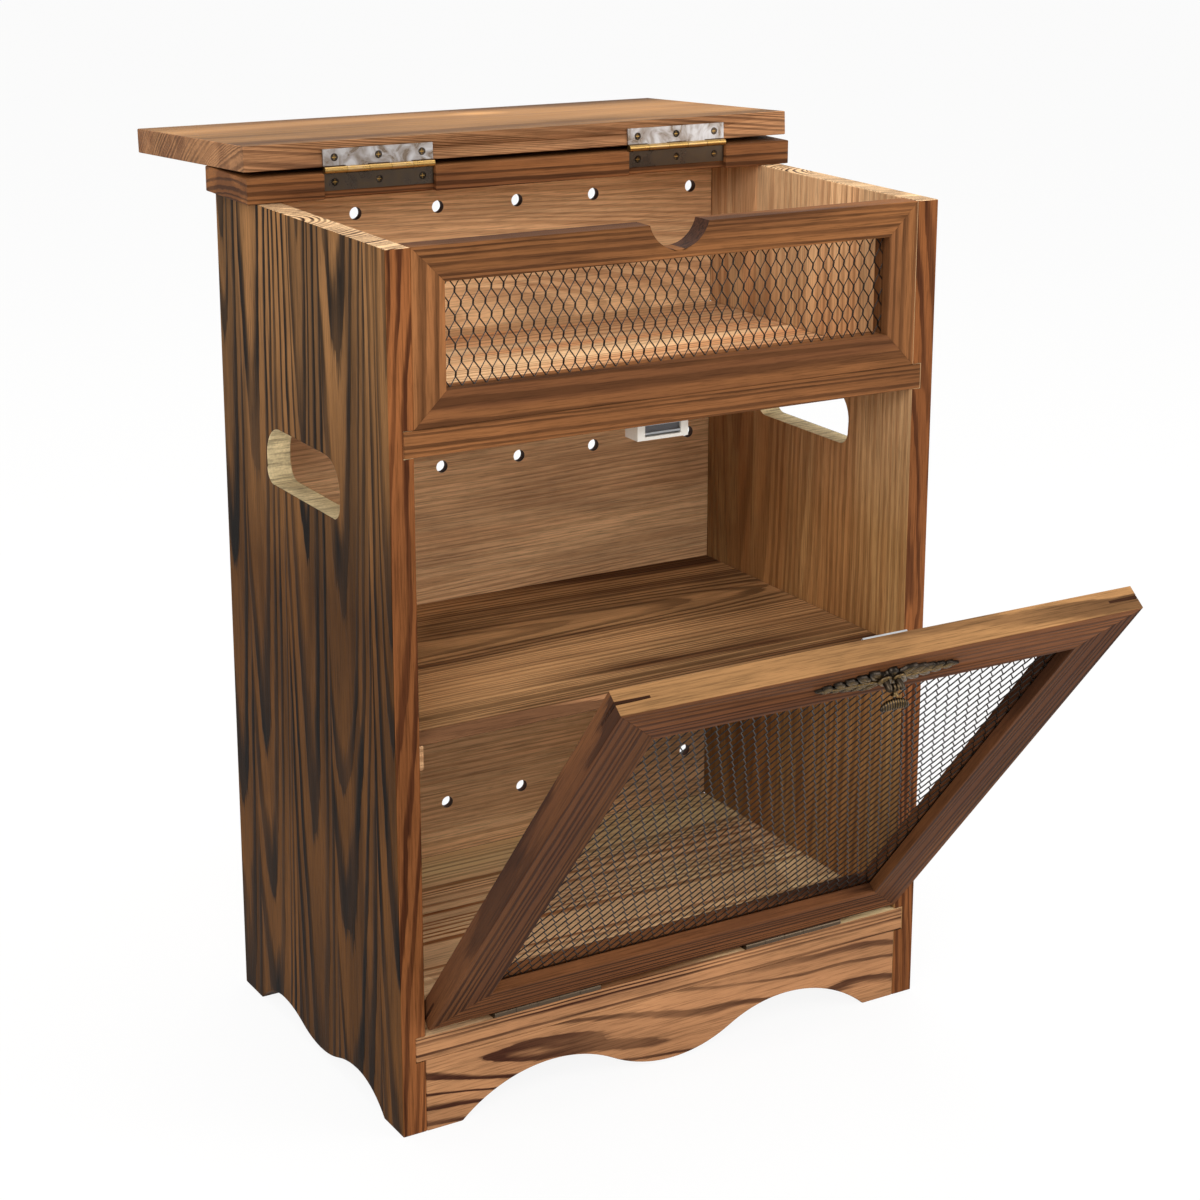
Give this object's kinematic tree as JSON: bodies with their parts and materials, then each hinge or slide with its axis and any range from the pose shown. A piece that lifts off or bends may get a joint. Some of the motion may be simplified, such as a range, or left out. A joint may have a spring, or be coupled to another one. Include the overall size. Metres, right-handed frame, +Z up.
{
  "type": "tilt out vegetable bin cabinet",
  "caption": "Small scorched wood cabinet with a lidded top bin, a shelf and a mesh front door that tilts forward on hinges.",
  "frame": {"origin": "on the floor, midway between the two side boards and midway from their front to their rear edges", "axes": "+X to the right as seen from the front, +Y towards the back, +Z up; lid drawn turned back on its rail, door drawn tilted 39.5 degrees open, grip plumb"},
  "size_m": [0.374, 0.5596, 0.5484],
  "materials": {
    "wood_side": "scorched softwood, brushed and waxed",
    "wood_front": "scorched softwood, brushed and waxed",
    "wood_inside": "lightly scorched softwood",
    "steel_mesh": "black painted expanded steel",
    "hinge_bronze": "antiqued, dark patina",
    "screw_bronze": "antiqued, dark patina",
    "pull_bronze": "antiqued, rubbed high spots",
    "catch_plastic": "moulded, off-white",
    "catch_steel": "bright zinc",
    "magnet": "sintered ferrite, dark grey"
  },
  "bodies": {
    "cabinet": {"back_panel": "wood_inside", "back_panel_brads": "catch_steel", "bottom_board": "wood_inside", "catch_housing": "catch_plastic", "catch_magnet": "magnet", "catch_pole_plates": "catch_steel", "catch_screws": "catch_steel", "door_hinge_fixed_screws": "screw_bronze", "door_hinge_left_fixed_leaf": "hinge_bronze", "door_hinge_left_pin": "hinge_bronze", "door_hinge_right_fixed_leaf": "hinge_bronze", "door_hinge_right_pin": "hinge_bronze", "front_apron": "wood_front", "hinge_rail": "wood_front", "lid_hinge_fixed_screws": "screw_bronze", "lid_hinge_left_fixed_leaf": "hinge_bronze", "lid_hinge_left_pin": "hinge_bronze", "lid_hinge_right_fixed_leaf": "hinge_bronze", "lid_hinge_right_pin": "hinge_bronze", "middle_shelf": "wood_inside", "shelf_cleat_left": "wood_inside", "shelf_cleat_right": "wood_inside", "side_panel_left": "wood_side", "side_panel_right": "wood_side", "top_frame_bottom_rail": "wood_front", "top_frame_left_stile": "wood_front", "top_frame_mesh": "steel_mesh", "top_frame_right_stile": "wood_front", "top_frame_top_rail": "wood_front", "upper_board": "wood_inside"},
    "lid": {"lid_board": "wood_front", "lid_hinge_left_moving_leaf": "hinge_bronze", "lid_hinge_right_moving_leaf": "hinge_bronze", "lid_hinge_moving_screws": "screw_bronze"},
    "door": {"door_top_rail": "wood_front", "door_bottom_rail": "wood_front", "door_left_stile": "wood_front", "door_right_stile": "wood_front", "door_corner_splines": "wood_front", "door_mesh": "steel_mesh", "door_hinge_left_moving_leaf": "hinge_bronze", "door_hinge_right_moving_leaf": "hinge_bronze", "door_hinge_moving_screws": "screw_bronze", "strike_plate": "catch_steel", "strike_screw": "catch_steel", "pull_back_plate": "pull_bronze", "pull_pivot_pin": "pull_bronze", "pull_screws": "screw_bronze"},
    "grip": {"pull_grip": "pull_bronze"}
  },
  "joints": [
    {"name": "lid_hinge", "type": "hinge", "parent": "cabinet", "child": "lid", "pos_m": [0, 0.0535, 0.53175], "axis": [1, 0, 0], "range_deg": [0, 183.12]},
    {"name": "door_hinge", "type": "hinge", "parent": "cabinet", "child": "door", "pos_m": [0, -0.116, 0.0622], "axis": [1, 0, 0], "range_deg": [-39.5, 55.5]},
    {"name": "grip_pivot", "type": "hinge", "parent": "door", "child": "grip", "pos_m": [0, -0.32782, 0.30658], "axis": [1, 0, 0], "range_deg": [-55, 45]}
  ]
}
